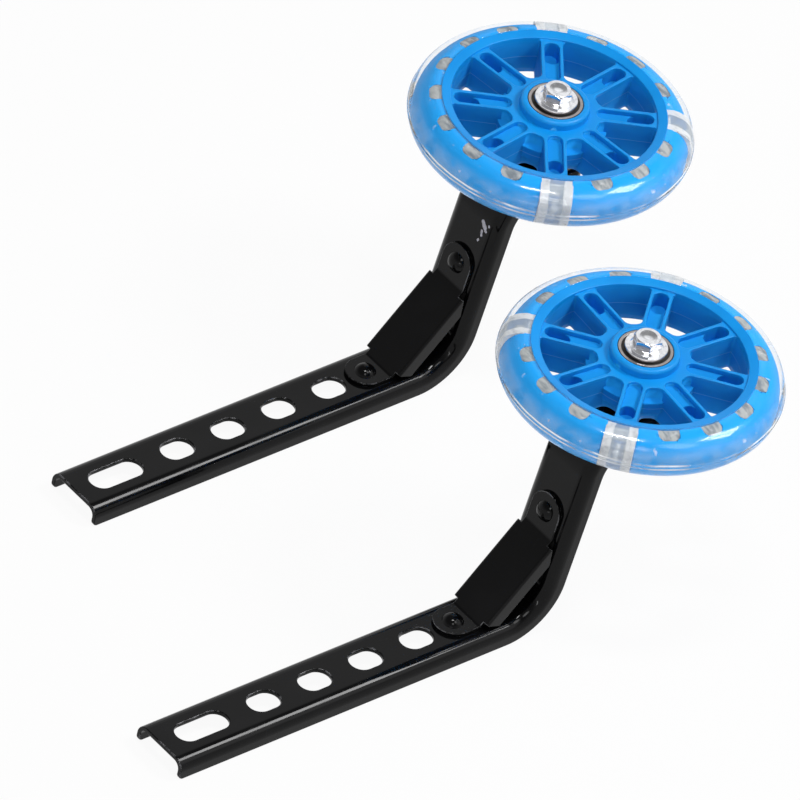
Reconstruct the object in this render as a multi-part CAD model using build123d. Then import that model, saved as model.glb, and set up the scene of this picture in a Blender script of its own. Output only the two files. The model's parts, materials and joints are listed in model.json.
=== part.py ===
from build123d import *
from math import cos, radians, sin, sqrt, tan
import os

# A pair of bicycle training wheels: two identical units side by side, each a pressed steel
# channel arm with a riveted brace and a light-up wheel on two ball bearings.
# Millimetres. Origin at the centre of the left unit's long slot, on the web's upper face,
# +X along the arms towards the wheels, +Z along the wheels' axles.

# Pair
pair_shift_x = -62.0
pair_pitch_y = 131.0
wheel_turn_deg = {"left": -128.0, "right": 40.0}

# Arm channel
sheet = 2.0
arm_w = 27.0
flange_depth = 8.7
channel_corner_r = 5.0
flange_end_r = 2.0
bend_deg = 82.0
lower_bend_r = 16.0
upper_bend_r = 22.5
plate_height = 84.0
axle_from_riser = 27.8
plate_end_margin = 13.5
plate_corner_r = 8.0

# Slots, counted from the long one
slot_w = 10.3
long_slot_len = 24.5
short_slot_len = 14.3
first_slot_x = 30.6
slot_pitch = 25.4
short_slots = 4
free_end_margin = 20.3
bend_from_last_slot = 50.3

# Gusset, distances along the webs from the bend's corner
gusset_sheet = 1.5
gusset_tab_w = 16.0
gusset_ledge_w = 2.5
gusset_bend_r = 3.0
gusset_flange_depth = 5.5
gusset_edge_r = 1.3
lower_fold_dist = 24.9
upper_fold_dist = 33.5
lower_rivet_from_fold = 7.5
upper_rivet_from_fold = 9.0

# Rivets
rivet_d = 4.8
rivet_head_d = 8.8
rivet_head_h = 2.6
rivet_tail_d = 7.2
rivet_tail_h = 1.4

# Wheel, with depths counted outwards from the seam between rim and tyre
seam_r = 44.5
rim_w = 19.6
rim_wall = 3.8
lip_w = 17.4
rim_draft = 0.9
lip_edge_r = 0.5
fin_depth = 7.4
fin_cover = 1.0
tread_depth = 4.5
window_count = 16
window_w = 8.5
window_depth = 4.3
window_corner_r = 2.6
notch_w = 12.0
notch_places = (0, 4, 8)

# Hub and spokes
hub_r = 13.8
hub_w = 23.4
hub_edge_r = 1.7
spoke_count = 8
spoke_w = 8.8
spoke_drop = 0.8
spoke_root_gap = 4.7
spoke_corner_r = 3.2
spoke_toe_r = 1.4
recess_w = 6.0
recess_hub_gap = 2.8
recess_rim_gap = 1.4
recess_depth = 2.2
pocket_len = 10.3
pocket_floor = 2.4
shelf_gap = 8.2
shelf_h = 5.2

# Flash modules
module_board = 1.0
module_board_w = 8.0
module_board_len = 13.0
module_can_d = 4.4
module_can_len = 8.0
module_lamp_d = 3.0
module_lamp_h = 2.2

# Ball bearings
bearing_bore = 8.0
bearing_od = 22.0
bearing_w = 7.0
bearing_recess = 0.2
ball_d = 3.97
ball_pitch_d = 15.0
ball_count = 7
ring_shoulder = 1.5
shield_sheet = 0.4
shield_recess = 0.4
shield_seat = 0.5
cage_radial = 1.5
cage_rise = 0.5
cage_back = 0.5

# Axle
bolt_d = 5.9
bolt_af = 10.0
bolt_flange_d = 13.6
bolt_flange_h = 1.2
bolt_hex_h = 3.6
bolt_crown_inset = 0.15
bolt_dish_d = 7.4
bolt_dish_depth = 0.8
bolt_standout = 3.0
head_washer_gap = 0.5
head_washer_h = 1.5
bearing_spacer_d = 11.0
arm_spacer_d = 11.4
arm_spacer_len = 3.9
lock_washer_d = 11.6
lock_washer_h = 1.6
lock_washer_split = 0.8
lock_washer_lean_deg = 30.0
nut_af = 10.0
nut_h = 5.0
nut_chamfer = 0.5

# Fits
slip = 0.05
press = 0.02
race_gap = 0.04
clear = 0.3

# Places worked out from the sizes above
last_slot_x = first_slot_x + (short_slots - 1) * slot_pitch
bend_x = last_slot_x + bend_from_last_slot
riser_top_x = bend_x + plate_height / tan(radians(bend_deg))
axle_x = riser_top_x + axle_from_riser
lower_rivet_dist = lower_fold_dist + lower_rivet_from_fold
upper_rivet_dist = upper_fold_dist + upper_rivet_from_fold
lip_r = seam_r - rim_wall
fin_r = seam_r + fin_depth
fin_w = rim_w - 2 * fin_cover
tyre_r = fin_r + tread_depth
spoke_h = lip_w - 2 * spoke_drop
spoke_root_r = hub_r + spoke_root_gap
shelf_r = hub_r + shelf_gap
recess_start_r = hub_r + recess_hub_gap
recess_end_r = lip_r - recess_rim_gap
pocket_start_r = recess_end_r - pocket_len
shield_seat_d = bearing_od - 2 * ring_shoulder
outer_land_d = shield_seat_d - 2 * shield_seat
inner_land_d = 2 * ball_pitch_d - outer_land_d
head_washer_d = outer_land_d - 2 * head_washer_gap
bearing_face = hub_w / 2 - bearing_recess
bearing_back = bearing_face - bearing_w
wheel_z = plate_height + arm_spacer_len + bearing_face
web_plane = Plane.XY
riser_along = (cos(radians(bend_deg)), 0, sin(radians(bend_deg)))
riser_out = (-sin(radians(bend_deg)), 0, cos(radians(bend_deg)))
riser_plane = Plane(origin=(bend_x, 0, 0), x_dir=riser_along, z_dir=riser_out)


def tube(outer_d, inner_d, length):
    return Cylinder(outer_d / 2, length) - Cylinder(inner_d / 2, length)


def hexagon(across_flats, height):
    return extrude(RegularPolygon(across_flats / 2, 6, major_radius=False), height)


# The channel's section follows the line of the web's upper face, bent up and then back level
def make_arm():
    outer = Pos(0, -flange_depth / 2) * Rectangle(arm_w, flange_depth)
    outer = fillet(outer.vertices().group_by(Axis.Y)[-1], channel_corner_r)
    hollow = Pos(0, -(flange_depth + sheet) / 2) * Rectangle(arm_w - 2 * sheet, flange_depth - sheet)
    hollow = fillet(hollow.vertices().group_by(Axis.Y)[-1], channel_corner_r - sheet)
    start = Plane(origin=(-free_end_margin, 0, 0), x_dir=(0, 1, 0), z_dir=(1, 0, 0))
    plate_end_x = axle_x + plate_end_margin
    line = FilletPolyline(
        (-free_end_margin, 0, 0),
        (bend_x, 0, 0),
        (riser_top_x, 0, plate_height),
        (plate_end_x, 0, plate_height),
        radius=[lower_bend_r, upper_bend_r],
    )
    arm = sweep(start * (outer - hollow), path=line)
    flange_ends = arm.edges().filter_by(Axis.Y).group_by(Axis.X)[0].group_by(Axis.Z)[0]
    arm = fillet(flange_ends, flange_end_r)
    slot_xs = [first_slot_x + i * slot_pitch for i in range(short_slots)]
    short_slot = extrude(SlotOverall(short_slot_len, slot_w), 2 * sheet, both=True)
    long_slot = extrude(SlotOverall(long_slot_len, slot_w), 2 * sheet, both=True)
    arm -= [long_slot] + [Pos(x, 0, 0) * short_slot for x in slot_xs]
    rivet_hole = Cylinder(rivet_d / 2 + slip, 4 * sheet)
    arm -= web_plane * Pos(bend_x - lower_rivet_dist, 0, 0) * rivet_hole
    arm -= riser_plane * Pos(upper_rivet_dist, 0, 0) * rivet_hole
    arm -= Pos(axle_x, 0, plate_height) * Cylinder(bolt_d / 2 + clear, 4 * sheet)
    corner = Pos(plate_end_x - plate_corner_r / 2, 0) * Rectangle(plate_corner_r, arm_w)
    round_end = Pos(plate_end_x - 1.5 * plate_corner_r, 0) * RectangleRounded(
        3 * plate_corner_r, arm_w, plate_corner_r
    )
    arm -= Pos(0, 0, plate_height) * extrude(corner - round_end, 2 * flange_depth, both=True)
    return arm


# A strip folded at both webs, its ends rounded about the rivets, with flanges along the chord
def make_gusset():
    fold_low = Vector(bend_x - lower_fold_dist, 0, 0)
    fold_high = riser_plane.from_local_coords(Vector(upper_fold_dist, 0, 0))
    tab_r = gusset_tab_w / 2
    end_low = Vector(bend_x - lower_rivet_dist - tab_r, 0, 0)
    end_high = riser_plane.from_local_coords(Vector(upper_rivet_dist + tab_r, 0, 0))
    line = FilletPolyline(end_low, fold_low, fold_high, end_high, radius=gusset_bend_r)
    start = Plane(origin=end_low, x_dir=(0, 1, 0), z_dir=(1, 0, 0))
    strip = sweep(start * Pos(0, gusset_sheet / 2) * Rectangle(gusset_tab_w, gusset_sheet), path=line)
    corner = Pos(-tab_r / 2, 0) * Rectangle(tab_r, gusset_tab_w) - Circle(tab_r)
    trim = extrude(corner, 2 * gusset_sheet, both=True)
    strip -= web_plane * Pos(bend_x - lower_rivet_dist, 0, 0) * trim
    strip -= riser_plane * Pos(upper_rivet_dist, 0, 0) * Rot(0, 0, 180) * trim
    hole = Cylinder(rivet_d / 2 + slip, 4 * gusset_sheet)
    strip -= web_plane * Pos(bend_x - lower_rivet_dist, 0, 0) * hole
    strip -= riser_plane * Pos(upper_rivet_dist, 0, 0) * hole
    return strip + gusset_flanges(fold_low, fold_high)


# The chord's edges: a ledge level with the strip and a flange turned in towards the bend,
# whose ends follow the two webs
def gusset_flanges(fold_low, fold_high):
    along = (fold_high - fold_low).normalized()
    out = Vector(-along.Z, 0, along.X)
    inner_low = fold_low - out * gusset_flange_depth
    lift = clear - inner_low.Z
    foot = inner_low + along * (lift / along.Z)
    head_local = riser_plane.to_local_coords(inner_low + along)
    base_local = riser_plane.to_local_coords(inner_low)
    gain = head_local.Z - base_local.Z
    head = inner_low + along * ((clear - base_local.Z) / gain)
    toe_low = fold_low + along * gusset_bend_r
    toe_high = fold_high - along * gusset_bend_r
    rise = out * gusset_sheet
    side = Plane.XZ
    flange_points = (foot, head, toe_high, toe_low)
    ledge_points = (toe_low, toe_high, toe_high + rise, toe_low + rise)
    flange = side * Polygon(*[(p.X, p.Z) for p in flange_points], align=None)
    ledge = side * Polygon(*[(p.X, p.Z) for p in ledge_points], align=None)
    wall = extrude(flange, gusset_sheet, dir=(0, 1, 0))
    edge = extrude(ledge, gusset_ledge_w, dir=(0, 1, 0)) + Pos(0, gusset_ledge_w - gusset_sheet, 0) * wall
    outer_edges = edge.edges().group_by(Axis.Y)[-1]
    ridge = outer_edges.sort_by(lambda e: (e.center() - fold_low).dot(out))[-1]
    edge = Pos(0, gusset_tab_w / 2, 0) * fillet(ridge, gusset_edge_r)
    return edge + mirror(edge, Plane.XZ)


def make_rivet():
    grip = gusset_sheet + sheet
    cap_r = ((rivet_head_d / 2) ** 2 + rivet_head_h**2) / (2 * rivet_head_h)
    dome = Pos(0, 0, rivet_head_h - cap_r) * Sphere(cap_r)
    dome &= Pos(0, 0, rivet_head_h / 2) * Box(rivet_head_d, rivet_head_d, rivet_head_h)
    shank = Pos(0, 0, -grip / 2) * Cylinder(rivet_d / 2, grip)
    tail = Pos(0, 0, -grip - rivet_tail_h / 2) * Cylinder(rivet_tail_d / 2, rivet_tail_h)
    tail = fillet(tail.edges().sort_by(Axis.Z)[0], rivet_tail_h / 2)
    return Pos(0, 0, gusset_sheet) * (dome + shank + tail)


# Wheel pieces are made about the wheel's centre, then set on the axle
def half_ellipse(reach_r, width):
    oval = Pos(seam_r, 0) * Ellipse(reach_r - seam_r, width / 2)
    keep = Pos((seam_r + reach_r) / 2, 0) * Rectangle(reach_r - seam_r, width)
    return oval & keep


# A full turn whose seam falls between two windows
def turn_ring(profile):
    return Rot(0, 0, 180 / window_count) * revolve(Plane.XZ * profile, Axis.Z)


def make_rim():
    ring = Polygon(
        (lip_r, lip_w / 2),
        (seam_r, rim_w / 2),
        (seam_r, -rim_w / 2),
        (lip_r, -lip_w / 2),
        (lip_r - rim_draft, 0),
        align=None,
    )
    lips = [v for v in ring.vertices() if abs(v.X - lip_r) < 0.01]
    ring = fillet(lips, lip_edge_r)
    return turn_ring(ring + half_ellipse(fin_r, fin_w))


def spoke_angles():
    return [i * 360 / spoke_count for i in range(spoke_count)]


# Eight openings between the spokes, their inner corners rounded
def make_spokes():
    opening = Circle(lip_r) - Circle(spoke_root_r)
    opening -= [Rot(0, 0, a) * Pos(lip_r / 2, 0) * Rectangle(lip_r, spoke_w) for a in spoke_angles()]
    root_corners = [v for v in opening.vertices() if Vector(v).length < (spoke_root_r + lip_r) / 2]
    opening = fillet(root_corners, spoke_corner_r)
    toe_corners = [v for v in opening.vertices() if abs(Vector(v).length - lip_r) < 0.01]
    opening = fillet(toe_corners, spoke_toe_r)
    deck = extrude(Circle(lip_r) - opening, spoke_h / 2, both=True)
    deck += Cylinder(shelf_r, shelf_h)
    recess_mid = (recess_start_r + recess_end_r) / 2
    pocket_mid = (pocket_start_r + recess_end_r) / 2
    recess = Pos(recess_mid, 0) * SlotOverall(recess_end_r - recess_start_r, recess_w)
    pocket = Pos(pocket_mid, 0) * SlotOverall(recess_end_r - pocket_start_r, recess_w)
    cut = Pos(0, 0, spoke_h / 2 - recess_depth) * extrude(recess, recess_depth)
    cut += Pos(0, 0, pocket_floor / 2) * extrude(pocket, (spoke_h - pocket_floor) / 2)
    cuts = [Rot(0, 0, a) * turned for a in spoke_angles() for turned in (cut, mirror(cut, Plane.XY))]
    return deck - cuts


# Lock windows and lamp notches through the fin, sharing one even pattern
def fin_cuts():
    window = Pos(seam_r, 0) * RectangleRounded(2 * window_depth, window_w, window_corner_r)
    notch = Pos(fin_r, 0) * Rectangle(3 * fin_depth, notch_w)
    rim_body = Cylinder(seam_r, 2 * rim_w)
    window_cut = extrude(window, rim_w / 2, both=True) - rim_body
    notch_cut = extrude(notch, rim_w / 2, both=True) - rim_body
    pitch = 360 / window_count
    cuts = {i: notch_cut if i in notch_places else window_cut for i in range(window_count)}
    return [Rot(0, 0, i * pitch) * cut for i, cut in cuts.items()]


def make_core():
    hub = Cylinder(hub_r, hub_w)
    hub = fillet(hub.edges().filter_by(GeomType.CIRCLE), hub_edge_r)
    core = make_rim() - fin_cuts() + make_spokes() + hub
    seat_depth = hub_w / 2 - bearing_back
    seat = Pos(0, 0, bearing_back + seat_depth / 2) * Cylinder(bearing_od / 2 + press, seat_depth)
    core -= [seat, mirror(seat, Plane.XY)]
    return core - Cylinder(bearing_od / 2 - ring_shoulder, hub_w)


# A board on the rim with a small can along it and a domed lamp that looks outwards
def make_module():
    board_r = seam_r + clear + module_board / 2
    can_r = board_r + (module_board + module_can_d) / 2
    lamp_r = can_r + module_can_d / 2 + module_lamp_h - module_lamp_d / 2
    board = Pos(board_r, 0) * Box(module_board, module_board_w, module_board_len)
    can = Pos(can_r, 0) * Cylinder(module_can_d / 2, module_can_len)
    saddle = Pos(can_r - module_can_d / 4, 0) * Box(module_can_d / 2, module_can_d, module_can_len)
    stem = Pos((can_r + lamp_r) / 2, 0) * Rot(0, 90, 0) * Cylinder(module_lamp_d / 2, lamp_r - can_r)
    dome = Pos(lamp_r, 0) * Sphere(module_lamp_d / 2)
    return board + can + saddle + stem + dome


def make_tyre(core, modules):
    return turn_ring(half_ellipse(tyre_r, rim_w)) - core - modules


# One deep-groove bearing about its own centre
def make_bearing():
    race = Torus(ball_pitch_d / 2, ball_d / 2 + race_gap)
    seat_depth = shield_recess + shield_sheet
    seat = Pos(0, 0, (bearing_w - seat_depth) / 2) * tube(shield_seat_d, outer_land_d, seat_depth)
    outer = tube(bearing_od, outer_land_d, bearing_w) - race - seat - mirror(seat, Plane.XY)
    inner = tube(inner_land_d, bearing_bore, bearing_w) - race
    shield = tube(shield_seat_d - 2 * press, inner_land_d + 2 * clear, shield_sheet)
    shield = Pos(0, 0, bearing_w / 2 - shield_recess - shield_sheet / 2) * shield
    places = [Rot(0, 0, i * 360 / ball_count) * Pos(ball_pitch_d / 2, 0) for i in range(ball_count)]
    balls = [p * Sphere(ball_d / 2) for p in places]
    cage_depth = ball_d / 2 + cage_back
    cage = tube(ball_pitch_d + cage_radial, ball_pitch_d - cage_radial, cage_depth + cage_rise)
    cage = Pos(0, 0, (cage_rise - cage_depth) / 2) * cage
    cage -= [p * Sphere(ball_d / 2 + race_gap) for p in places]
    return {
        "outer_ring": outer,
        "inner_ring": inner,
        "shields": Compound(children=[shield, mirror(shield, Plane.XY)]),
        "balls": Compound(children=balls),
        "cage": cage,
    }


def make_bolt():
    head_z = bearing_face + head_washer_h
    stack = head_washer_h + 2 * bearing_face + arm_spacer_len + sheet + lock_washer_h + nut_h
    length = stack + bolt_standout
    shank = Pos(0, 0, head_z - length / 2) * Cylinder(bolt_d / 2, length)
    flange = Pos(0, 0, head_z + bolt_flange_h / 2) * Cone(
        bolt_flange_d / 2, bolt_flange_d / 2 - bolt_flange_h, bolt_flange_h
    )
    head_h = bolt_flange_h + bolt_hex_h
    head = Pos(0, 0, head_z) * hexagon(bolt_af, head_h)
    crown_r = bolt_af / 2 - bolt_crown_inset
    head &= Pos(0, 0, head_z + head_h / 2) * Cone(crown_r + head_h, crown_r, head_h)
    dish_r = ((bolt_dish_d / 2) ** 2 + bolt_dish_depth**2) / (2 * bolt_dish_depth)
    head -= Pos(0, 0, head_z + head_h - bolt_dish_depth + dish_r) * Sphere(dish_r)
    return shank + flange + head


def make_lock_washer():
    ring = tube(lock_washer_d, bolt_d + 2 * clear, lock_washer_h)
    cutter = Box(lock_washer_d, lock_washer_split, 3 * lock_washer_h)
    return ring - Pos(lock_washer_d / 2, 0) * Rot(lock_washer_lean_deg, 0, 0) * cutter


def make_nut():
    nut = Pos(0, 0, -nut_h / 2) * hexagon(nut_af, nut_h)
    corner_r = nut_af / sqrt(3)
    cone = Cone(corner_r + nut_h - nut_chamfer / 2, corner_r - nut_chamfer / 2, nut_h)
    nut &= cone
    nut &= Rot(180, 0, 0) * cone
    return nut - Cylinder(bolt_d / 2 + slip, nut_h)


# Pieces of one unit that stay still, in the unit's frame
def fixed_pieces():
    axle = Pos(axle_x, 0, wheel_z)
    plate_under = plate_height - sheet
    rivet = make_rivet()
    sleeve_d = bearing_bore - 2 * slip
    bore_d = bolt_d + 2 * slip
    washer_z = bearing_face + head_washer_h / 2
    return {
        "arm": make_arm(),
        "gusset": make_gusset(),
        "lower_rivet": web_plane * Pos(bend_x - lower_rivet_dist, 0, 0) * rivet,
        "upper_rivet": riser_plane * Pos(upper_rivet_dist, 0, 0) * rivet,
        "bearing_spacer": axle * tube(bearing_spacer_d, bearing_bore, 2 * bearing_back),
        "axle_sleeve": axle * tube(sleeve_d, bore_d, 2 * bearing_face),
        "axle_bolt": axle * make_bolt(),
        "head_washer": axle * Pos(0, 0, washer_z) * tube(head_washer_d, bolt_d + 2 * clear, head_washer_h),
        "arm_spacer": Pos(axle_x, 0, plate_height + arm_spacer_len / 2)
        * tube(arm_spacer_d, bore_d, arm_spacer_len),
        "lock_washer": Pos(axle_x, 0, plate_under - lock_washer_h / 2) * make_lock_washer(),
        "axle_nut": Pos(axle_x, 0, plate_under - lock_washer_h - nut_h / 2) * make_nut(),
    }


# Pieces of the wheel that are turned with it, about the wheel's centre
def wheel_pieces():
    core = make_core()
    pitch = 360 / window_count
    modules = [Rot(0, 0, i * pitch) * make_module() for i in notch_places]
    pieces = {"wheel_core": core, "tyre": make_tyre(core, modules)}
    for number, module in enumerate(modules, 1):
        pieces[f"flash_module_{number}"] = module
    return pieces


def bearing_pieces():
    centre = bearing_face - bearing_w / 2
    pieces = {}
    for name, place in (("outer", Pos(0, 0, centre)), ("inner", Pos(0, 0, -centre) * Rot(180, 0, 0))):
        for piece, solid in make_bearing().items():
            pieces[f"{name}_bearing_{piece}"] = place * solid
    return pieces


def main():
    os.makedirs("parts", exist_ok=True)
    fixed = fixed_pieces()
    wheel = wheel_pieces()
    bearings = bearing_pieces()
    axle = Pos(axle_x, 0, wheel_z)
    unit_places = {"left": Pos(0, 0, 0), "right": Pos(pair_shift_x, -pair_pitch_y, 0)}
    for side, place in unit_places.items():
        turned = axle * Rot(0, 0, wheel_turn_deg[side])
        unit = dict(fixed)
        unit.update({name: turned * solid for name, solid in wheel.items()})
        unit.update({name: axle * solid for name, solid in bearings.items()})
        for name, solid in unit.items():
            export_step(place * solid, f"parts/{side}_{name}.step")


main()
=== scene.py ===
import json
from math import asin, atan2, cos, pi, radians, sin, sqrt

import bmesh
import bpy
from mathutils import Matrix, Quaternion, Vector


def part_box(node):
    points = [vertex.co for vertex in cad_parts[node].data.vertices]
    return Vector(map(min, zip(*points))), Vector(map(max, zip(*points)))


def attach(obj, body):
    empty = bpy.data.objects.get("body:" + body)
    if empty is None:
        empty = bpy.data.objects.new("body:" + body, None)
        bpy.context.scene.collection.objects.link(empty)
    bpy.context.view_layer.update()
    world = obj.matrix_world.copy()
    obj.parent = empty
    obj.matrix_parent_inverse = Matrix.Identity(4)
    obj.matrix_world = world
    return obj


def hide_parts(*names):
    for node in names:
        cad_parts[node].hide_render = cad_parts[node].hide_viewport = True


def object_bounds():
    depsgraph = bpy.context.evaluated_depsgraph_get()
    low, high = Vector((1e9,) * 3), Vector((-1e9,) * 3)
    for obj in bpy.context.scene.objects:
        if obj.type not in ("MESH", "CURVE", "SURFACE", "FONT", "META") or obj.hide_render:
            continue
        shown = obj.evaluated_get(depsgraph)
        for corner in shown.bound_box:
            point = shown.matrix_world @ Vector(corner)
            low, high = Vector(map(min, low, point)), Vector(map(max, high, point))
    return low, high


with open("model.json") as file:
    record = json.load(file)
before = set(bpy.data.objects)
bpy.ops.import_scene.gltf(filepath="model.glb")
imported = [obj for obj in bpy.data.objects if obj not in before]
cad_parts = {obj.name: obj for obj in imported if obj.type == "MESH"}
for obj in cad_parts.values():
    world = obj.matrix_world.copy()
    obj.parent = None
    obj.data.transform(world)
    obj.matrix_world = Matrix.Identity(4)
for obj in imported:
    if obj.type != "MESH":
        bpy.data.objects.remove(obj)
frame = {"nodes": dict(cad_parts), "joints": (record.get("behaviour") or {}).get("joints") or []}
cadLow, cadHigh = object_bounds()
mm = 0.001                                       # pieces are drawn in millimetres, Blender works in metres
sideNames = ("left", "right")
axles = {}
for joint in frame["joints"]:
    if joint["child"].endswith("_wheel"):
        axles[joint["child"].split("_")[0]] = Vector(joint["pos_m"])
print("frame loaded:", len(frame["nodes"]), "nodes and", len(axles), "axles")


# Shader maths as plain sums
class Wire:
    def __init__(self, finish, socket):
        self.finish = finish
        self.socket = socket

    def out(self, name):
        return Wire(self.finish, self.socket.node.outputs[name])

    def sum(self, operation, first, second):
        return self.finish.node("ShaderNodeMath", {"operation": operation}, {0: first, 1: second})

    def __add__(self, other):
        return self.sum("ADD", self, other)

    def __radd__(self, other):
        return self.sum("ADD", other, self)

    def __sub__(self, other):
        return self.sum("SUBTRACT", self, other)

    def __rsub__(self, other):
        return self.sum("SUBTRACT", other, self)

    def __mul__(self, other):
        return self.sum("MULTIPLY", self, other)

    def __rmul__(self, other):
        return self.sum("MULTIPLY", other, self)

    def __lt__(self, other):
        return self.sum("LESS_THAN", self, other)

    def __gt__(self, other):
        return self.sum("GREATER_THAN", self, other)

    def __abs__(self):
        return self.finish.node("ShaderNodeMath", {"operation": "ABSOLUTE"}, {0: self})


# One node tree, with one way to make any node and short ways to those that are used most
class Finish:
    def __init__(self, name, owner=None):
        self.material = owner or bpy.data.materials.new(name)
        self.material.use_nodes = True
        self.tree = self.material.node_tree
        self.tree.nodes.clear()

    def node(self, kind, settings=None, sockets=None):
        made = self.tree.nodes.new(kind)
        for key, value in (settings or {}).items():
            setattr(made, key, value)
        for key, value in (sockets or {}).items():
            if isinstance(value, Wire):
                self.tree.links.new(value.socket, made.inputs[key])
            else:
                made.inputs[key].default_value = value
        shown = [o for o in made.outputs if o.enabled]
        return Wire(self, shown[0]) if shown else None

    def places(self, centre=(0, 0, 0)):          # object coordinates in millimetres about a centre
        spot = self.node("ShaderNodeTexCoord").out("Object")
        return self.node("ShaderNodeMapping", {"vector_type": "POINT"},
                         {"Vector": spot, "Location": [-c / mm for c in centre], "Scale": (1 / mm,) * 3})

    def split(self, spot):
        return self.node("ShaderNodeSeparateXYZ", None, {0: spot})

    def radius(self, axes):                      # distance from the Z axis
        flat = self.node("ShaderNodeCombineXYZ", None, {"X": axes.out("X"), "Y": axes.out("Y")})
        return self.node("ShaderNodeVectorMath", {"operation": "LENGTH"}, {0: flat}).out("Value")

    def noise(self, spot, size, detail=2.0, roughness=0.5):     # size of one blotch in millimetres
        return self.node("ShaderNodeTexNoise", {"noise_dimensions": "3D"},
                         {"Vector": spot, "Scale": 1 / size, "Detail": detail, "Roughness": roughness})

    def band(self, value, low, high):            # 0 at low, 1 at high, soft between
        return self.node("ShaderNodeMapRange", {"interpolation_type": "SMOOTHSTEP", "clamp": True},
                         {"Value": value, "From Min": low, "From Max": high})

    def clamp(self, value):
        return self.node("ShaderNodeClamp", None, {"Value": value})

    def mix(self, factor, first, second):
        return self.node("ShaderNodeMix", {"data_type": "RGBA"}, {0: factor, 6: first, 7: second})

    def mixShaders(self, factor, first, second):
        return self.node("ShaderNodeMixShader", None, {0: factor, 1: first, 2: second})

    def bump(self, height, depth, under=None):   # depth in millimetres
        sockets = {"Height": height, "Distance": depth * mm, "Strength": 1.0}
        if under:
            sockets["Normal"] = under
        return self.node("ShaderNodeBump", None, sockets)

    def surface(self, sockets):
        return self.node("ShaderNodeBsdfPrincipled", None, sockets)

    def close(self, shader):
        self.node("ShaderNodeOutputMaterial", None, {"Surface": shader})
        return self.material


# Gloss black paint over pressed steel: orange peel, a little dust, and broken edges painted pale in places,
# partly as wear and partly as painted highlights along them
paintLook = {
    "black": (0.002, 0.002, 0.0022, 1), "gloss": 0.09, "shine": 0.14,
    "dusty": (0.004, 0.004, 0.0044, 1), "cloudSize": 22, "dustBand": (0.45, 0.75), "dustShare": 0.6,
    "dullBand": (0.4, 0.8), "dullRough": 0.1,
    "speckSize": 0.55, "speckBand": (0.66, 0.74), "speckRough": 0.12,
    "wearAndGlint": (0.16, 0.16, 0.17, 1), "wearAndGlintSize": 6, "wearAndGlintBand": (0.46, 0.6), "wearAndGlintShare": 0.7, "wearAndGlintRough": 0.2,
    "peelSize": 1.6, "peelDepth": 0.005, "waveSize": 14, "waveDepth": 0.05,
}


def blackPaint(name, mark=None):
    look = paintLook
    f = Finish(name)
    spot = f.places()
    cloud = f.noise(spot, look["cloudSize"], 4)
    speck = f.band(f.noise(spot, look["speckSize"], 2, 0.6), *look["speckBand"])
    colour = f.mix(f.band(cloud, *look["dustBand"]) * look["dustShare"], look["black"], look["dusty"])
    rough = look["gloss"] + look["dullRough"] * f.band(cloud, *look["dullBand"]) + look["speckRough"] * speck
    edge = f.node("ShaderNodeAttribute", {"attribute_name": "brokenEdge"}).out("Fac")
    # pale broken edges: partly wear, partly painted highlights along the edges
    wearAndGlint = look["wearAndGlintShare"] * edge * f.band(f.noise(spot, look["wearAndGlintSize"], 4, 0.65), *look["wearAndGlintBand"])
    colour = f.mix(wearAndGlint, colour, look["wearAndGlint"])
    rough = rough + look["wearAndGlintRough"] * wearAndGlint
    if mark:
        # the paint run's catch-light, painted as a pale mark
        runAndGlint = paintMark(f, spot, mark)
        colour = f.mix(runAndGlint, colour, mark["colour"])
        rough = rough + mark["rough"] * runAndGlint
    wave = f.bump(f.noise(spot, look["waveSize"], 1), look["waveDepth"])
    peel = f.bump(f.noise(spot, look["peelSize"], 2), look["peelDepth"], wave)
    return f.close(f.surface({"Base Color": colour, "Roughness": rough, "Normal": peel,
                              "Specular IOR Level": look["shine"]}))


# The pale mark on the left riser, a paint run with the light it catches painted pale: a slanted blotch and
# loose flecks, as strokes (start, end, half width) in the plane of the riser's outer face, which leans from X
# = faceX at the mark's height
riserMark = {
    "colour": (0.46, 0.45, 0.5, 1), "rough": 0.15,
    "centre": (-6.8, 62.8), "faceX": 165.9, "lean": 0.14, "skin": 1.0,
    "ragged": 1.5, "raggedSizes": (1.8, 2.3), "softness": 0.2,
    "strokes": [((1.7, 2.3), (0.1, 0.6), 0.95), ((0.1, 0.6), (-0.9, -0.6), 0.6),
                ((-1.6, 2.4), (-1.7, 2.1), 0.5), ((0.9, -1.6), (0.5, -3.5), 0.6),
                ((1.2, -5.6), (1.4, -6.4), 0.45)],
}


def paintMark(f, spot, mark):
    axes = f.split(spot)
    middleY, middleZ = mark["centre"]
    sizeY, sizeZ = mark["raggedSizes"]
    across = axes.out("Y") - middleY + mark["ragged"] * (f.noise(spot, sizeY, 3, 0.6) - 0.5)
    climb = axes.out("Z") - middleZ + mark["ragged"] * (f.noise(spot, sizeZ, 2, 0.6) - 0.5)
    runAndGlint = 0
    for (startY, startZ), (endY, endZ), half in mark["strokes"]:
        wayY, wayZ = endY - startY, endZ - startZ
        square = wayY ** 2 + wayZ ** 2
        along = f.clamp((across - startY) * (wayY / square) + (climb - startZ) * (wayZ / square))
        offY = across - startY - wayY * along
        offZ = climb - startZ - wayZ * along
        outer, inner = (1 + mark["softness"]) * half, (1 - mark["softness"]) * half
        runAndGlint = runAndGlint + f.band(offY * offY + offZ * offZ, outer ** 2, inner ** 2)
    depth = axes.out("X") - mark["faceX"] - mark["lean"] * (axes.out("Z") - middleZ)
    return f.clamp(runAndGlint) * (abs(depth) < mark["skin"])
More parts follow.
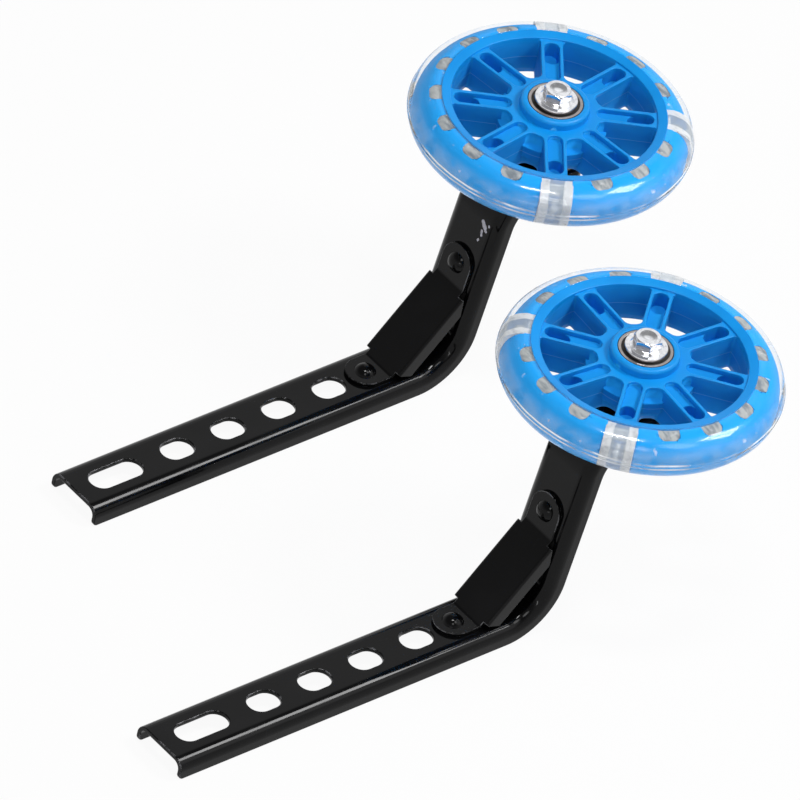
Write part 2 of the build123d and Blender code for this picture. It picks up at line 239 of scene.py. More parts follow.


# Blue moulded plastic of the core: satin, with the mould's parting line at mid width painted paler as a
# highlight along its ridge, duller inner walls, and the fin in the tyre painted a lighter blue as brightening
# for the light through the vinyl
coreLook = {
    "blue": (0.004, 0.264, 0.7, 1), "deep": (0.003, 0.234, 0.64, 1),
    "cloudSize": 16, "cloudBand": (0.35, 0.75),
    "fin": (0.008, 0.36, 0.9, 1), "seamRadius": 44.6, "gloss": 0.36, "shine": 0.2,
    "line": (0.12, 0.42, 0.78, 1), "lineHalf": 0.16, "lineRadius": 41.0, "ridgeGlintShare": 0.75, "lineDepth": 0.05,
    "waver": 0.22, "waverSize": 5, "rubSize": 2.4, "rubBand": (0.55, 0.8), "rubRough": 0.14,
    "wallHalf": 6.5, "wallDull": 0.75,
    "grainSize": 0.35, "grainDepth": 0.004, "sinkSize": 12, "sinkDepth": 0.05,
}


def bluePlastic(name, centre):
    look = coreLook
    f = Finish(name)
    spot = f.places(centre)
    axes = f.split(spot)
    radius = f.radius(axes)
    cloud = f.noise(spot, look["cloudSize"], 3)
    colour = f.mix(f.band(cloud, *look["cloudBand"]), look["blue"], look["deep"])
    waver = look["waver"] * (f.noise(spot, look["waverSize"], 2) - 0.5)
    line = f.band(abs(axes.out("Z") + waver), look["lineHalf"], 0.5 * look["lineHalf"])
    line = line * (radius < look["lineRadius"])
    # the parting line is painted paler: a painted highlight along its real ridge
    colour = f.mix(look["ridgeGlintShare"] * line, colour, look["line"])
    bare = 1 - (radius > look["seamRadius"])     # the fin outside the seam lies in the tyre
    # the fin in the tyre is painted a lighter blue than the bare core, as painted brightening for the light
    # that reaches it through the vinyl
    colour = f.mix(bare, look["fin"], colour)
    rub = f.band(f.noise(spot, look["rubSize"], 4, 0.7), *look["rubBand"])
    wall = (radius < look["lineRadius"]) * (abs(axes.out("Z")) < look["wallHalf"])
    rough = 1 - bare * (1 - look["gloss"] - look["rubRough"] * rub) * (1 - look["wallDull"] * wall)
    sink = f.bump(f.noise(spot, look["sinkSize"], 1), look["sinkDepth"])
    grain = f.bump(f.noise(spot, look["grainSize"], 2), look["grainDepth"], sink)
    ridge = f.bump(line, look["lineDepth"], grain)
    return f.close(f.surface({"Base Color": colour, "Roughness": rough, "Normal": ridge,
                              "Specular IOR Level": look["shine"]}))


# Clear soft vinyl of the tyre: a glossy skin, faint clouds and flecks, a milky edge that is partly a painted
# sheen, and a parting line whitened partly by moulding flash and partly as a painted highlight
tyreLook = {
    "clear": (0.965, 0.98, 0.985, 1), "gloss": 0.03, "bend": 1.21,
    "skin": 0.35, "skinGloss": 0.16, "skinBend": 1.5,
    "rubSize": 5, "rubBand": (0.62, 0.8), "rubRough": 0.1,
    "flowSize": 9, "flowDepth": 0.1, "fineSize": 1.8, "fineDepth": 0.006,
    "hazeAndSheen": (0.9, 0.93, 0.96, 1), "hazeGloss": 0.4,
    "cloudHaze": 0.03, "cloudScale": (0.05, 0.05, 0.3), "cloudBand": (0.45, 0.8),
    "edgeHazeAndSheen": 0.14, "edgeRadii": (52.0, 55.6), "edgeSize": 6, "edgeBand": (0.25, 0.6),
    "fleckHaze": 0.35, "fleckSize": 4, "fleckBand": (0.7, 0.78),
    "lineFlashAndHighlight": 0.85, "lineHalf": 0.9, "lineEdge": (0.6, 0.18), "waver": 0.9, "waverSize": 14,
    "breakSize": 22, "breakBand": (0.38, 0.58),
}


def clearVinyl(name, centre):
    look = tyreLook
    f = Finish(name)
    spot = f.places(centre)
    axes = f.split(spot)
    radius = f.radius(axes)
    flow = f.bump(f.noise(spot, look["flowSize"], 2), look["flowDepth"])
    fine = f.bump(f.noise(spot, look["fineSize"], 2), look["fineDepth"], flow)
    rub = f.band(f.noise(spot, look["rubSize"], 4, 0.7), *look["rubBand"])
    rough = look["gloss"] + look["rubRough"] * rub
    glass = f.surface({"Base Color": look["clear"], "Roughness": rough, "Normal": fine, "IOR": look["bend"],
                       "Transmission Weight": 1.0, "Coat Weight": look["skin"],
                       "Coat Roughness": look["skinGloss"], "Coat IOR": look["skinBend"]})
    milkAndSheen = f.surface({"Base Color": look["hazeAndSheen"], "Roughness": look["hazeGloss"], "Normal": fine})
    layered = f.node("ShaderNodeVectorMath", {"operation": "MULTIPLY"}, {0: spot, 1: look["cloudScale"]})
    cloud = f.band(f.noise(layered, 1.0, 4, 0.6), *look["cloudBand"])
    # the outer edge is whitened: partly milky haze, partly a painted sheen of the edge
    edge = f.band(radius, *look["edgeRadii"]) * f.band(f.noise(spot, look["edgeSize"], 3), *look["edgeBand"])
    fleck = f.band(f.noise(spot, look["fleckSize"], 2, 0.4), *look["fleckBand"])
    height = axes.out("Z") + look["waver"] * (f.noise(spot, look["waverSize"], 2) - 0.5)
    # the parting line is whitened: partly moulding flash, partly a painted highlight along its ridge
    line = f.band(abs(abs(height) - look["lineHalf"]), *look["lineEdge"])
    line = line * f.band(f.noise(spot, look["breakSize"], 4), *look["breakBand"])
    hazeAndSheen = look["cloudHaze"] * cloud + look["edgeHazeAndSheen"] * edge
    hazeAndSheen = hazeAndSheen + look["fleckHaze"] * fleck + look["lineFlashAndHighlight"] * line
    return f.close(f.mixShaders(hazeAndSheen, glass, milkAndSheen))


# Bright zinc plate, with faint blotches and small dents
zincLook = {
    "bright": (0.82, 0.83, 0.86, 1), "dull": (0.64, 0.65, 0.69, 1), "gloss": 0.1,
    "cloudSize": 2.6, "cloudBand": (0.4, 0.72), "dullBand": (0.45, 0.8), "dullRough": 0.1,
    "fineSize": 0.3, "fineRough": 0.05, "fineDepth": 0.0015, "dentSize": 2.2, "dentDepth": 0.012,
}


def zincPlate(name):
    look = zincLook
    f = Finish(name)
    spot = f.places()
    cloud = f.noise(spot, look["cloudSize"], 4, 0.6)
    fine = f.noise(spot, look["fineSize"], 3, 0.6)
    colour = f.mix(f.band(cloud, *look["cloudBand"]), look["bright"], look["dull"])
    rough = look["gloss"] + look["dullRough"] * f.band(cloud, *look["dullBand"]) + look["fineRough"] * fine
    dents = f.bump(f.noise(spot, look["dentSize"], 1), look["dentDepth"])
    grain = f.bump(fine, look["fineDepth"], dents)
    return f.close(f.surface({"Base Color": colour, "Roughness": rough, "Metallic": 1.0, "Normal": grain}))


# Ground bearing steel, with turning marks round the axle, painted dark where the ring lies in the shade of
# its seat; the shields are the same steel painted near-black as the shade of their groove
steelLook = {
    # shields: the same steel painted near-black as the shade of their groove
    "ring": ((0.42, 0.39, 0.38, 1), 0.22), "shadedShield": ((0.06, 0.056, 0.054, 1), 0.4),
    "seatRadii": (10.65, 10.8), "seatShade": (0.004, 0.004, 0.004, 1),
    "filmSize": 1.8, "filmBand": (0.4, 0.75), "filmShare": 0.72, "dullBand": (0.5, 0.8), "dullRough": 0.12,
    "turnSize": 0.28, "turnDepth": 0.01, "turnRough": 0.14,
}


def turnedSteel(name, centre, kind):
    look = steelLook
    shade, gloss = look[kind]
    f = Finish(name)
    spot = f.places(centre)
    radius = f.radius(f.split(spot))
    turns = f.node("ShaderNodeTexNoise", {"noise_dimensions": "1D"},
                   {"W": radius, "Scale": 1 / look["turnSize"], "Detail": 3.0})
    film = f.noise(spot, look["filmSize"], 3, 0.6)
    filmed = tuple(look["filmShare"] * c for c in shade[:3]) + (1,)
    colour = f.mix(f.band(film, *look["filmBand"]), shade, filmed)
    colour = f.mix(f.band(radius, *look["seatRadii"]), colour, look["seatShade"])
    rough = gloss + look["turnRough"] * turns + look["dullRough"] * f.band(film, *look["dullBand"])
    return f.close(f.surface({"Base Color": colour, "Roughness": rough, "Metallic": 1.0,
                              "Normal": f.bump(turns, look["turnDepth"])}))


# Plain small mouldings: cages, lamp boards and lamp lenses
smallPlastics = {
    "nylon": {"name": "cage_nylon", "pale": (0.72, 0.66, 0.5, 1), "deep": (0.6, 0.53, 0.38, 1),
              "gloss": 0.4, "cloudSize": 1.5},
    "board": {"name": "lamp_board", "pale": (0.82, 0.84, 0.84, 1), "deep": (0.68, 0.71, 0.73, 1),
              "gloss": 0.35, "cloudSize": 1.2},
    "lens": {"name": "lamp_lens", "pale": (0.8, 0.85, 0.9, 1), "deep": (0.6, 0.7, 0.82, 1),
             "gloss": 0.12, "cloudSize": 0.9},
}
mouldLook = {"cloudBand": (0.35, 0.7), "cloudRough": 0.15, "grainSize": 0.25, "grainDepth": 0.006}


def mouldedPlastic(kind):
    look = smallPlastics[kind]
    f = Finish(look["name"])
    spot = f.places()
    cloud = f.noise(spot, look["cloudSize"], 3)
    colour = f.mix(f.band(cloud, *mouldLook["cloudBand"]), look["pale"], look["deep"])
    rough = look["gloss"] + mouldLook["cloudRough"] * cloud
    grain = f.bump(f.noise(spot, mouldLook["grainSize"], 2), mouldLook["grainDepth"])
    return f.close(f.surface({"Base Color": colour, "Roughness": rough, "Normal": grain}))


# Vinyl in the lock windows: grey and beige streaks of what lies behind, a little bubbly, with painted glints
# on the bubbles
windowLook = {
    "pale": (0.4, 0.42, 0.42, 1), "grey": (0.17, 0.2, 0.23, 1), "glint": (0.68, 0.7, 0.72, 1),
    "gloss": 0.5, "shine": 0.1, "streakTurn": (0, 0, 0.9), "streakScale": (0.42, 0.12, 0.2),
    "streakBand": (0.38, 0.68), "bubbleSize": 2.2, "bubbleBand": (0.58, 0.78), "bubbleShare": 0.5,
    "bubbleGloss": 0.2, "bubbleDepth": 0.08,
}


def windowVinyl(name):
    look = windowLook
    f = Finish(name)
    spot = f.places()
    slant = f.node("ShaderNodeMapping", None, {"Vector": spot, "Rotation": look["streakTurn"],
                                               "Scale": look["streakScale"]})
    streak = f.band(f.noise(slant, 1.0, 3, 0.55), *look["streakBand"])
    bubble = f.band(f.noise(spot, look["bubbleSize"], 2), *look["bubbleBand"])
    colour = f.mix(streak, look["pale"], look["grey"])
    # painted glints on the bubbles
    colour = f.mix(look["bubbleShare"] * bubble, colour, look["glint"])
    rough = look["gloss"] - look["bubbleGloss"] * bubble
    return f.close(f.surface({"Base Color": colour, "Roughness": rough, "Specular IOR Level": look["shine"],
                              "Normal": f.bump(bubble, look["bubbleDepth"])}))


# Vinyl round each lamp: white at both sides, half clear and bluish over the lamp in the middle
lampVinylLook = {
    "white": (0.72, 0.74, 0.76, 1), "grey": (0.5, 0.53, 0.56, 1), "middle": (0.62, 0.72, 0.8, 1),
    "gloss": 0.4, "shine": 0.2, "sideCover": 0.85, "middleCover": 0.4, "middleShare": 0.7,
    "middleHalf": 0.2, "middleSoft": 0.05, "waver": 0.12, "waverSize": 3.5,
    "streakSize": 2.8, "streakBand": (0.45, 0.72), "streakGloss": 0.15, "streakDepth": 0.08,
}


def lampVinyl(name):
    look = lampVinylLook
    f = Finish(name)
    spot = f.places()
    across = f.split(f.node("ShaderNodeTexCoord").out("UV")).out("X")
    waver = look["waver"] * (f.noise(spot, look["waverSize"], 2) - 0.5)
    middle = f.band(abs(across - 0.5 + waver), look["middleHalf"] + look["middleSoft"], look["middleHalf"])
    streak = f.band(f.noise(spot, look["streakSize"], 3, 0.55), *look["streakBand"])
    colour = f.mix(streak, look["white"], look["grey"])
    colour = f.mix(look["middleShare"] * middle, colour, look["middle"])
    cover = look["sideCover"] - (look["sideCover"] - look["middleCover"]) * middle
    rough = look["gloss"] - look["streakGloss"] * streak
    return f.close(f.surface({"Base Color": colour, "Roughness": rough, "Specular IOR Level": look["shine"],
                              "Alpha": cover, "Normal": f.bump(streak, look["streakDepth"])}))


finishes = {
    "zinc": zincPlate("zinc_plate"),
    "window": windowVinyl("window_vinyl"),
    "notch": lampVinyl("lamp_vinyl"),
    "nylon": mouldedPlastic("nylon"),
    "board": mouldedPlastic("board"),
    "lens": mouldedPlastic("lens"),
    "right_paint": blackPaint("right_black_paint"),
    "left_paint": blackPaint("left_black_paint", riserMark),
}
for side in sideNames:
    finishes[side + "_vinyl"] = clearVinyl(side + "_clear_vinyl", axles[side])
    finishes[side + "_blue"] = bluePlastic(side + "_blue_plastic", axles[side])
    finishes[side + "_steel"] = turnedSteel(side + "_bearing_steel", axles[side], "ring")
    finishes[side + "_shield"] = turnedSteel(side + "_bearing_shield", axles[side], "shadedShield")
print("finishes made:", len(finishes))


def newObject(name, data):
    made = bpy.data.objects.new(name, data)
    bpy.context.scene.collection.objects.link(made)
    return made


def newMesh(name, bm):
    mesh = bpy.data.meshes.new(name)
    bm.to_mesh(mesh)
    bm.free()
    return mesh


def addPiece(name, bm, finish, body, smoothAngle=50):
    mesh = newMesh(name, bm)
    for face in mesh.polygons:
        face.use_smooth = True
    mesh.set_sharp_from_angle(angle=radians(smoothAngle))
    mesh.materials.append(finish)
    piece = newObject(name, mesh)
    even = piece.modifiers.new("evenNormals", "WEIGHTED_NORMAL")
    even.keep_sharp = True
    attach(piece, body)
    return piece


def closeHoles(bm):
    bmesh.ops.holes_fill(bm, edges=[e for e in bm.edges if e.is_boundary], sides=0)


def joinInto(whole, part):
    block = newMesh("block", part)
    whole.from_mesh(block)
    bpy.data.meshes.remove(block)


poleMerge = 0.001                                # doubles of a turned piece closer than this are one point


# A closed ring or turned piece from a half section of (radius, height) points in millimetres
def turnedPiece(points, steps, closed=True):
    bm = bmesh.new()
    rim = [bm.verts.new((r * mm, 0, z * mm)) for r, z in points]
    pairs = list(zip(rim, rim[1:]))
    if closed:
        pairs.append((rim[-1], rim[0]))
    lines = [bm.edges.new(pair) for pair in pairs]
    bmesh.ops.spin(bm, geom=rim + lines, cent=(0, 0, 0), axis=(0, 0, 1), angle=2 * pi, steps=steps,
                   use_merge=True)
    bmesh.ops.remove_doubles(bm, verts=bm.verts, dist=poleMerge * mm)
    bmesh.ops.recalc_face_normals(bm, faces=bm.faces)
    return bm


# Solids that keep their own form, with their convex edges broken by these widths
edgeBreaks = {
    "arm": 0.45, "gusset": 0.3, "lower_rivet": 0.0, "upper_rivet": 0.0, "wheel_core": 0.4,
    "axle_bolt": 0.14, "head_washer": 0.25, "arm_spacer": 0.3, "lock_washer": 0.15, "axle_nut": 0.15,
    "outer_bearing_outer_ring": 0.25, "inner_bearing_outer_ring": 0.25,
}
breaking = {"segments": 2, "sharpAngle": 28, "flatAngle": 0.5, "merge": 0.002, "platedSmoothAngle": 24}


# A merged copy with its flat areas made whole; edges past the reach, a radius about the axle, stay sharp
def solidCopy(side, name, reach):
    merge = breaking["merge"] * mm
    bm = bmesh.new()
    bm.from_mesh(frame["nodes"][side + "_" + name].data)
    brokenEdge = bm.faces.layers.float.new("brokenEdge")
    bmesh.ops.remove_doubles(bm, verts=bm.verts, dist=merge)
    bmesh.ops.dissolve_limit(bm, angle_limit=radians(breaking["flatAngle"]), use_dissolve_boundaries=False,
                             verts=bm.verts, edges=bm.edges, delimit={"NORMAL"})
    if edgeBreaks[name]:
        sharp = [e for e in bm.edges if e.is_manifold and e.is_convex
                 and e.calc_face_angle(0) > radians(breaking["sharpAngle"])]
        if reach:
            sharp = [e for e in sharp if max((v.co - axles[side]).xy.length for v in e.verts) < reach * mm]
        made = bmesh.ops.bevel(bm, geom=sharp, offset=edgeBreaks[name] * mm, offset_type="OFFSET",
                               affect="EDGES", segments=breaking["segments"], profile=0.5, material=-1,
                               loop_slide=False, clamp_overlap=False)
        for face in made["faces"]:
            face[brokenEdge] = 1.0
    bmesh.ops.remove_doubles(bm, verts=bm.verts, dist=merge)
    return bm


def dressSolid(side, name, finish, body, smoothAngle=50, reach=None):
    node = side + "_" + name
    piece = addPiece(node + "_dressed", solidCopy(side, name, reach), finish, body, smoothAngle)
    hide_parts(node)


for side in sideNames:
    for name in ("arm", "gusset", "lower_rivet", "upper_rivet"):
        dressSolid(side, name, finishes[side + "_paint"], "brackets")
    for name in ("axle_bolt", "head_washer", "arm_spacer", "lock_washer", "axle_nut"):
        dressSolid(side, name, finishes["zinc"], "brackets", breaking["platedSmoothAngle"])
    for name in ("outer_bearing_outer_ring", "inner_bearing_outer_ring"):
        dressSolid(side, name, finishes[side + "_steel"], side + "_wheel")
    dressSolid(side, "wheel_core", finishes[side + "_blue"], side + "_wheel",
               reach=coreLook["seamRadius"])
print("solids dressed")


# Thread on the end of each bolt that stands out of its nut: a plain core with a helical ridge
thread = {
    "pitch": 1.0, "crest": 2.93, "root": 2.45, "bury": 0.3, "ease": 0.5, "runOut": 0.95,
    "crestStart": 0.42, "crestEnd": 0.52, "ridgeEnd": 0.94,      # shares of the pitch
    "hidden": 0.6, "overlap": 0.1, "stepsPerTurn": 32, "coreSteps": 48, "smoothAngle": 35,
}


def threadRidge(low, high):
    pitch, root, crest = thread["pitch"], thread["root"], thread["crest"]
    inside = root - thread["bury"]
    end = thread["ridgeEnd"] * pitch
    section = [(inside, 0.0), (root, 0.0), (crest, thread["crestStart"] * pitch),
               (crest, thread["crestEnd"] * pitch), (root, end), (inside, end)]
    turns = (high - low) / pitch - thread["runOut"]
    steps = int(turns * thread["stepsPerTurn"])
    bm = bmesh.new()
    loop = [bm.verts.new((r * mm, 0, (low + z) * mm)) for r, z in section]
    lines = [bm.edges.new(pair) for pair in zip(loop, loop[1:] + loop[:1])]
    bmesh.ops.spin(bm, geom=loop + lines, cent=(0, 0, 0), axis=(0, 0, 1), angle=2 * pi * turns, steps=steps,
                   dvec=(0, 0, turns * pitch * mm / steps))
    closeHoles(bm)
    bmesh.ops.recalc_face_normals(bm, faces=bm.faces)
    return bm


def threadCore(low, high):
    root, ease = thread["root"], thread["ease"]
    points = [(0.0, low), (root - ease, low), (root, low + ease), (root, high), (0.0, high)]
    return turnedPiece(points, thread["coreSteps"], closed=False)


# The dressed bolt is cut off inside its nut, and the threaded end takes over from there
def makeThread(side):
    bolt = bpy.data.objects[side + "_axle_bolt_dressed"].data
    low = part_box(side + "_axle_bolt")[0].z / mm
    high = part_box(side + "_axle_nut")[0].z / mm + thread["hidden"]
    bm = bmesh.new()
    bm.from_mesh(bolt)
    bmesh.ops.bisect_plane(bm, geom=list(bm.verts) + list(bm.edges) + list(bm.faces),
                           plane_co=(0, 0, high * mm), plane_no=(0, 0, 1), clear_inner=True)
    closeHoles(bm)
    bm.to_mesh(bolt)
    bm.free()
    whole = bmesh.new()
    for make in (threadCore, threadRidge):
        joinInto(whole, make(low, high + thread["overlap"]))
    bmesh.ops.translate(whole, vec=(axles[side].x, axles[side].y, 0), verts=whole.verts)
    addPiece(side + "_axle_bolt_thread", whole, finishes["zinc"], "brackets",
             thread["smoothAngle"])


for side in sideNames:
    makeThread(side)
print("bolt threads cut")


# Clear tyre: half an oval over the rim with a parting ridge, closed inside the blue rim so that no gap shows
tyre = {
    "seamRadius": 44.5, "depth": 11.9, "width": 19.6, "sink": 0.3,
    "ridgeHalf": 0.5, "ridgeTop": 0.2, "ridgeHeight": 0.28, "steps": 192, "rounds": 20, "smoothAngle": 60,
}


def makeTyre(side):
    half = tyre["width"] / 2
    reach = tyre["seamRadius"] + tyre["depth"]
    foot = asin(tyre["ridgeHalf"] / half)
    flank = []
    for i in range(tyre["rounds"] + 1):
        turn = pi / 2 + (foot - pi / 2) * i / tyre["rounds"]
        fall = (tyre["depth"] - tyre["ridgeHeight"]) * cos(turn)
        flank.append((tyre["seamRadius"] + fall, half * sin(turn)))
    upper = [(tyre["seamRadius"] - tyre["sink"], half - tyre["sink"])] + flank + [(reach, tyre["ridgeTop"])]
    bm = turnedPiece(upper + [(r, -z) for r, z in reversed(upper)], tyre["steps"])
    bmesh.ops.translate(bm, vec=axles[side], verts=bm.verts)
    piece = addPiece(side + "_tyre_clear", bm, finishes[side + "_vinyl"], side + "_wheel",
                     tyre["smoothAngle"])
    piece.visible_shadow = False
    piece.visible_diffuse = False
    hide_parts(side + "_tyre")


# Flash modules in the three notches: a board on the rim, a wound can and a lamp
module = {
    "boardRadius": 45.3, "board": (1.0, 8.0, 13.0), "boardCorner": 1.2, "cornerSegments": 4,
    "canRadius": 48.0, "canHalf": 4.0, "collar": 2.2, "collarLength": 0.8,
    "wire": 2.05, "wireSwell": 0.16, "turns": 9, "pointsPerTurn": 4,
    "lampRadius": 1.5, "lampBase": 49.6, "lampTip": 52.4, "domeSteps": 8, "roundSteps": 32,
}
moduleFinishes = {"board": "board", "can": "zinc", "lamp": "lens"}


def moduleTurn(side, number):
    vertices = frame["nodes"][f"{side}_flash_module_{number}"].data.vertices
    middle = sum((v.co for v in vertices), Vector()) / len(vertices) - axles[side]
    return atan2(middle.y, middle.x)


def boardMesh():
    bm = bmesh.new()
    bmesh.ops.create_cube(bm, size=mm)
    bmesh.ops.scale(bm, vec=module["board"], verts=bm.verts)
    thickness = module["board"][0] * mm
    corners = [e for e in bm.edges if abs(e.verts[0].co.x - e.verts[1].co.x) > thickness / 2]
    bmesh.ops.bevel(bm, geom=corners, offset=module["boardCorner"] * mm, offset_type="OFFSET", affect="EDGES",
                    segments=module["cornerSegments"], profile=0.5, material=-1)
    bmesh.ops.translate(bm, vec=(module["boardRadius"] * mm, 0, 0), verts=bm.verts)
    return bm


def canMesh():
    half, collar, swell = module["canHalf"], module["collar"], module["wireSwell"]
    woundHalf = half - module["collarLength"]
    points = [(0.0, -half), (collar, -half), (collar, -woundHalf)]
    steps = module["pointsPerTurn"] * module["turns"]
    for i in range(steps + 1):
        rise = swell * (1 - cos(2 * pi * i / module["pointsPerTurn"])) / 2
        points.append((module["wire"] - swell + rise, -woundHalf + 2 * woundHalf * i / steps))
    points += [(collar, woundHalf), (collar, half), (0.0, half)]
    bm = turnedPiece(points, module["roundSteps"], closed=False)
    bmesh.ops.translate(bm, vec=(module["canRadius"] * mm, 0, 0), verts=bm.verts)
    return bm


def lampMesh():
    radius = module["lampRadius"]
    reach = module["lampTip"] - module["lampBase"]
    points = [(0.0, 0.0), (radius, 0.0), (radius, reach - radius)]
    for i in range(1, module["domeSteps"]):
        turn = pi / 2 * i / module["domeSteps"]
        points.append((radius * cos(turn), reach - radius + radius * sin(turn)))
    points.append((0.0, reach))
    bm = turnedPiece(points, module["roundSteps"], closed=False)
    bmesh.ops.rotate(bm, cent=(0, 0, 0), matrix=Matrix.Rotation(pi / 2, 3, "Y"), verts=bm.verts)
    bmesh.ops.translate(bm, vec=(module["lampBase"] * mm, 0, 0), verts=bm.verts)
    return bm


def makeModules(side):
    for number in (1, 2, 3):
        turn = Matrix.Rotation(moduleTurn(side, number), 3, "Z")
        for part, make in (("board", boardMesh), ("can", canMesh), ("lamp", lampMesh)):
            bm = make()
            bmesh.ops.rotate(bm, cent=(0, 0, 0), matrix=turn, verts=bm.verts)
            bmesh.ops.translate(bm, vec=axles[side], verts=bm.verts)
            finish = finishes[moduleFinishes[part]]
            piece = addPiece(f"{side}_module_{number}_{part}", bm, finish, side + "_wheel")
            if part == "board":
                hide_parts(f"{side}_flash_module_{number}")


# Vinyl that fills the lock windows and the lamp notches, its top a little under the fin's own oval
filling = {
    "count": 16, "notches": (0, 4, 8), "seamRadius": 44.5, "root": 0.3, "sink": 0.26, "half": 8.8, "steps": 8,
    "cornerSegments": 5, "near": 0.01,
    "window": {"depth": 4.75, "width": 9.4, "corner": 2.9, "reach": 7.4},
    "notch": {"depth": 8.9, "width": 12.6, "corner": 0.5, "reach": 10.2},
}


def fillBlock(cut, turn):
    seam, near = filling["seamRadius"], filling["near"]
    top = []
    for i in range(filling["steps"] + 1):
        x = (cut["depth"] + filling["root"]) * i / filling["steps"] - filling["root"]
        top.append((x, filling["half"] * sqrt(1 - (max(x, 0) / cut["reach"]) ** 2) - filling["sink"]))
    outline = top + [(x, -z) for x, z in reversed(top)]
    bm = bmesh.new()
    flank = [bm.verts.new(((seam + x) * mm, -cut["width"] / 2 * mm, z * mm)) for x, z in outline]
    made = bmesh.ops.extrude_face_region(bm, geom=[bm.faces.new(flank)])
    moved = [g for g in made["geom"] if isinstance(g, bmesh.types.BMVert)]
    bmesh.ops.translate(bm, vec=(0, cut["width"] * mm, 0), verts=moved)
    outer = (seam + cut["depth"] - near) * mm
    upright = [e for e in bm.edges if min(v.co.x for v in e.verts) > outer
               and abs(e.verts[0].co.y - e.verts[1].co.y) < near * mm]
    bmesh.ops.bevel(bm, geom=upright, offset=cut["corner"] * mm, offset_type="OFFSET", affect="EDGES",
                    segments=filling["cornerSegments"], profile=0.5, material=-1)
    bmesh.ops.recalc_face_normals(bm, faces=bm.faces)
    across = bm.loops.layers.uv.new("across")
    for loop in [l for face in bm.faces for l in face.loops]:
        place = loop.vert.co / mm
        loop[across].uv = (place.y / cut["width"] + 0.5, (place.x - seam) / cut["depth"])
    bmesh.ops.rotate(bm, cent=(0, 0, 0), matrix=Matrix.Rotation(turn, 3, "Z"), verts=bm.verts)
    return bm


def makeFillings(side):
    start = moduleTurn(side, 1)
    for kind in ("window", "notch"):
        whole = bmesh.new()
        for i in range(filling["count"]):
            if (i in filling["notches"]) == (kind == "notch"):
                joinInto(whole, fillBlock(filling[kind], start + 2 * pi * i / filling["count"]))
        bmesh.ops.translate(whole, vec=axles[side], verts=whole.verts)
        addPiece(f"{side}_{kind}_vinyl", whole, finishes[kind], side + "_wheel")


for side in sideNames:
    makeTyre(side)
    makeModules(side)
    makeFillings(side)
print("tyres, flash modules and fillings made")


# Inner pieces stay as they are and take their finish
def giveFinish(node, finish):
    materials = frame["nodes"][node].data.materials
    materials.clear()
    materials.append(finish)


for side in sideNames:
    for bearing in (side + "_outer_bearing_", side + "_inner_bearing_"):
        giveFinish(bearing + "inner_ring", finishes[side + "_steel"])
        giveFinish(bearing + "balls", finishes[side + "_steel"])
        giveFinish(bearing + "shields", finishes[side + "_shield"])
        giveFinish(bearing + "cage", finishes["nylon"])
    giveFinish(side + "_bearing_spacer", finishes["zinc"])
    giveFinish(side + "_axle_sleeve", finishes["zinc"])
print("inner pieces finished")

# Studio: pale floor, white surround, soft lights; a rise is the two heights between which a level changes
studio = {
    "white": (1, 1, 1, 1), "floorSize": 9.0, "floorDrop": 0.05, "floorPale": (0.7, 0.7, 0.7, 1),
    "floorGlow": 0.94, "lowAmbient": 1.1, "highAmbient": 0.18, "ambientRise": (0.1, 0.5),
    "overhead": 0.14, "overheadRise": (0.1, 0.75),
}


def makeFloor():
    bm = bmesh.new()
    bmesh.ops.create_grid(bm, x_segments=1, y_segments=1, size=studio["floorSize"])
    bmesh.ops.translate(bm, vec=(0, 0, cadLow.z - studio["floorDrop"] * mm), verts=bm.verts)
    mesh = newMesh("studio_floor", bm)
    floor = newObject("studio_floor", mesh)
    f = Finish("studio_floor")
    path = f.node("ShaderNodeLightPath")
    seen = path.out("Is Camera Ray") + path.out("Is Glossy Ray") + path.out("Is Transmission Ray")
    card = f.node("ShaderNodeBsdfDiffuse", None, {"Color": studio["floorPale"]})
    glow = f.node("ShaderNodeEmission", None, {"Color": studio["white"], "Strength": 1.0})
    front = f.mixShaders(f.clamp(seen) * studio["floorGlow"], card, glow)
    below = f.node("ShaderNodeNewGeometry").out("Backfacing")
    gone = f.node("ShaderNodeBsdfTransparent")
    mesh.materials.append(f.close(f.mixShaders(below, front, gone)))


# Soft bright patches of the surround that only reflections show, each between two cosines from its middle
glares = [
    {"way": (0.45, -0.5, 0.74), "inner": 0.975, "outer": 0.86, "level": 1.6},
    {"way": (0.565, 0.521, 0.64), "inner": 0.99, "outer": 0.95, "level": 0.65},
    {"way": (0.12, -0.46, 0.87), "inner": 0.996, "outer": 0.98, "level": 6.0},
    {"way": (-0.36, -0.53, 0.77), "inner": 0.996, "outer": 0.985, "level": 7.0},
]


def makeWorld():
    world = bpy.data.worlds.new("studio")
    bpy.context.scene.world = world
    f = Finish("studio", world)
    path = f.node("ShaderNodeLightPath")
    way = f.node("ShaderNodeTexCoord")
    height = f.split(way).out("Z")
    high = f.band(height, *studio["overheadRise"])
    mirror = path.out("Is Glossy Ray") * (1 - (1 - studio["overhead"]) * high)
    seen = f.clamp(path.out("Is Camera Ray") + path.out("Is Transmission Ray") + mirror)
    fall = studio["highAmbient"] - studio["lowAmbient"]
    level = studio["lowAmbient"] + fall * f.band(height, *studio["ambientRise"])
    shine = 0
    for patch in glares:
        aim = Vector(patch["way"]).normalized()
        near = f.node("ShaderNodeVectorMath", {"operation": "DOT_PRODUCT"}, {0: way, 1: aim}).out("Value")
        shine = shine + f.band(near, patch["outer"], patch["inner"]) * patch["level"]
    ambient, white, glare = [f.node("ShaderNodeBackground", None, {"Color": studio["white"], "Strength": s})
                             for s in (level, 1.0, path.out("Is Glossy Ray") * shine)]
    lit = f.node("ShaderNodeAddShader", None, {0: f.mixShaders(seen, ambient, white), 1: glare})
    f.node("ShaderNodeOutputWorld", None, {"Surface": lit})


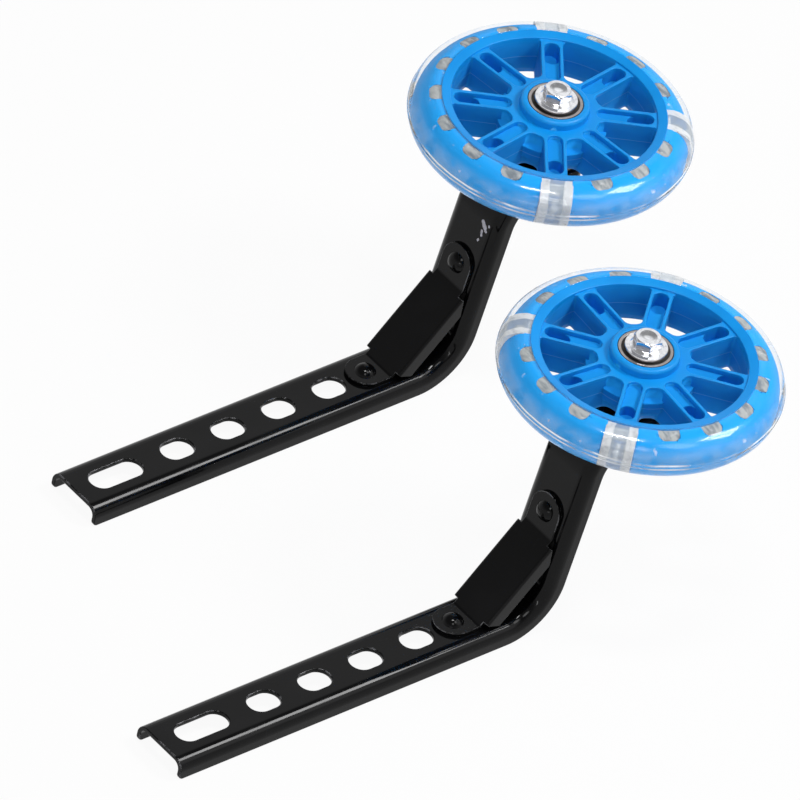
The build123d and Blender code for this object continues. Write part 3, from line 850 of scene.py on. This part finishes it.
# Lamps aimed at the middle of the pair; the flagged one is kept off plated pieces, which it would burn out
lamps = [
    {"name": "keyBox", "place": (0.86, -0.55, 1.22), "size": (0.4, 0.4), "power": 12.5},
    {"name": "overheadBox", "place": (-0.05, -0.25, 1.5), "size": (0.4, 0.16), "power": 9.5},
    {"name": "frontStrip", "place": (-1.0, -1.05, 0.5), "size": (0.5, 0.07), "power": 1.5},
]
flaggedLamp = "keyBox"


def flagOff(lamp, pieces):
    shaded = bpy.data.collections.new(lamp.name + "Flag")
    for piece in pieces:
        shaded.objects.link(piece)
    for entry in shaded.collection_objects:
        entry.light_linking.link_state = "EXCLUDE"
    lamp.light_linking.receiver_collection = shaded


def makeLamps():
    middle = (cadLow + cadHigh) / 2
    plated = [o for o in bpy.data.objects if o.type == "MESH" and finishes["zinc"] in list(o.data.materials)]
    for lamp in lamps:
        data = bpy.data.lights.new(lamp["name"], "AREA")
        data.shape = "RECTANGLE"
        data.size, data.size_y = lamp["size"]
        data.energy = lamp["power"]
        obj = newObject(lamp["name"], data)
        obj.location = lamp["place"]
        obj.rotation_mode = "QUATERNION"
        obj.rotation_quaternion = (middle - obj.location).to_track_quat("-Z", "Y")
        if lamp["name"] == flaggedLamp:
            flagOff(obj, plated)


# Camera: a long lens that looks down across both arms, turned a little about its own axis
shot = {
    "lens": 1170.0, "sensor": 36.0, "azimuth": -47.3, "elevation": 39.8, "roll": 12.8,
    "target": (80.6, -62.1, 53.0), "distance": 9985.0, "clip": (0.1, 50.0),
}


def makeCamera():
    data = bpy.data.cameras.new("camera")
    data.lens = shot["lens"]
    data.sensor_width = shot["sensor"]
    data.clip_start, data.clip_end = shot["clip"]
    camera = newObject("camera", data)
    a, e = radians(shot["azimuth"]), radians(shot["elevation"])
    back = Vector((sin(a) * cos(e), -cos(a) * cos(e), sin(e)))
    camera.location = (Vector(shot["target"]) + back * shot["distance"]) * mm
    camera.rotation_mode = "QUATERNION"
    level = (-back).to_track_quat("-Z", "Y")
    camera.rotation_quaternion = level @ Quaternion((0, 0, 1), radians(shot["roll"]))
    bpy.context.scene.camera = camera


makeFloor()
makeWorld()
makeLamps()
makeCamera()
bpy.context.scene.view_settings.view_transform = "Standard"
print("studio set")
